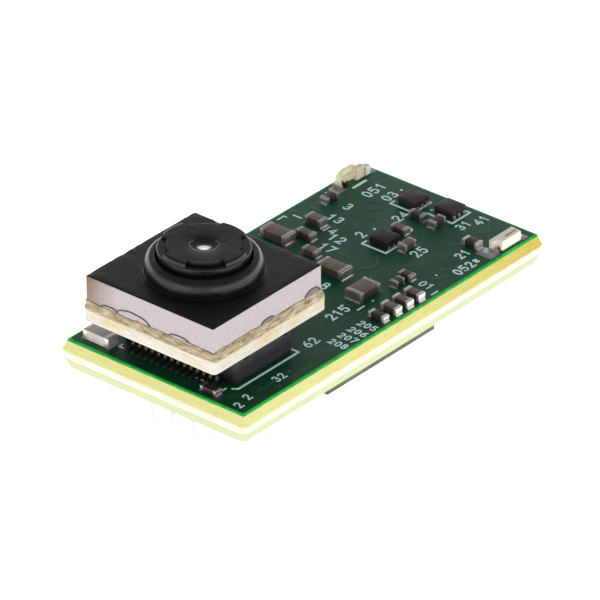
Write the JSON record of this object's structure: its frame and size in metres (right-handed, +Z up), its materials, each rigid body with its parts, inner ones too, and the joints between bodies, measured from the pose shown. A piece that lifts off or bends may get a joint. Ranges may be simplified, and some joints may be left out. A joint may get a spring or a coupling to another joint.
{
  "type": "miniature camera board",
  "caption": "Small plug-in green circuit board with a square black camera module on one end, chip parts and side lamps on top, and a fine-pitch pin header and processor underneath.",
  "frame": {"origin": "centre of the pin header's seating face, the flat underside of its black body between the two pin rows", "axes": "+X across the short side of the board, +Y along its long side away from the camera module, +Z up along the optical axis"},
  "size_m": [0.0114, 0.0227, 0.0114],
  "materials": {
    "solder_mask": "satin green solder mask over glass-fibre laminate, bare yellow-green laminate on the broken edges",
    "connector_plastic": "satin black moulded plastic",
    "tinned_contact": "dull tinned copper alloy",
    "module_laminate": "bare cream laminate edge",
    "sensor_die": "polished dark die",
    "adhesive": "tan cured adhesive",
    "holder_plastic": "satin black moulded plastic",
    "barrel_plastic": "smooth black moulded plastic",
    "filter_glass": "polished blue-green filter glass",
    "lens_glass": "polished coated glass",
    "retainer_plastic": "black plastic",
    "capacitor_ceramic": "fired brown ceramic with tinned ends",
    "resistor_ceramic": "dark coated ceramic with tinned ends",
    "chip_package": "dark moulding compound",
    "processor_package": "dark moulding compound",
    "lamp_resin": "cream translucent resin",
    "header_plastic": "black moulded plastic",
    "plated_pin": "bright tin-plated square pin"
  },
  "bodies": {
    "board": {"main_board": "solder_mask", "socket_housing": "connector_plastic", "socket_tails_front": "tinned_contact", "socket_tails_rear": "tinned_contact", "cap_front_left": "capacitor_ceramic", "cap_front_right": "resistor_ceramic", "cap_mid_left": "capacitor_ceramic", "cap_mid": "capacitor_ceramic", "cap_mid_right": "capacitor_ceramic", "cap_left_a": "capacitor_ceramic", "cap_left_b": "capacitor_ceramic", "cap_left_c": "capacitor_ceramic", "chip_row_1": "resistor_ceramic", "chip_row_2": "capacitor_ceramic", "chip_row_3": "capacitor_ceramic", "chip_row_4": "capacitor_ceramic", "chip_pair_1": "resistor_ceramic", "chip_pair_2": "resistor_ceramic", "cap_center": "capacitor_ceramic", "cap_by_sensor_ic": "capacitor_ceramic", "cap_rear_left": "resistor_ceramic", "cap_rear_right": "resistor_ceramic", "res_lamp_left": "resistor_ceramic", "res_lamp_right": "resistor_ceramic", "driver_ic": "chip_package", "regulator_left": "chip_package", "regulator_right": "chip_package", "lamp_left": "lamp_resin", "lamp_right": "lamp_resin", "processor_ic": "processor_package", "header_body": "header_plastic", "header_pin_1_1": "plated_pin", "header_pin_1_2": "plated_pin", "header_pin_1_3": "plated_pin", "header_pin_1_4": "plated_pin", "header_pin_1_5": "plated_pin", "header_pin_2_1": "plated_pin", "header_pin_2_2": "plated_pin", "header_pin_2_3": "plated_pin", "header_pin_2_4": "plated_pin", "header_pin_2_5": "plated_pin"},
    "camera_module": {"module_plug": "connector_plastic", "module_board": "module_laminate", "image_sensor": "sensor_die", "adhesive_bead": "adhesive", "lens_holder": "holder_plastic", "infrared_filter": "filter_glass"},
    "optics": {"front_lens": "lens_glass", "lens_spacer": "retainer_plastic", "rear_lens": "lens_glass", "retaining_ring": "retainer_plastic"},
    "barrel": {"lens_barrel": "barrel_plastic"}
  },
  "joints": [
    {"name": "module_unplug", "type": "slide", "parent": "board", "child": "camera_module", "axis": [0, 0, 1], "range_m": [0, 0.003]},
    {"name": "focus_travel", "type": "slide", "parent": "camera_module", "child": "optics", "axis": [0, 0, 1], "range_m": [-0.000175, 0.0007]},
    {"name": "focus_turn", "type": "hinge", "parent": "optics", "child": "barrel", "pos_m": [-0.00006, 0.00055, 0.005], "axis": [0, 0, 1], "range_deg": [-180, 720]}
  ],
  "couplings": [
    {"joint": "focus_turn", "follows": "focus_travel", "rad_per_m": 17952}
  ]
}
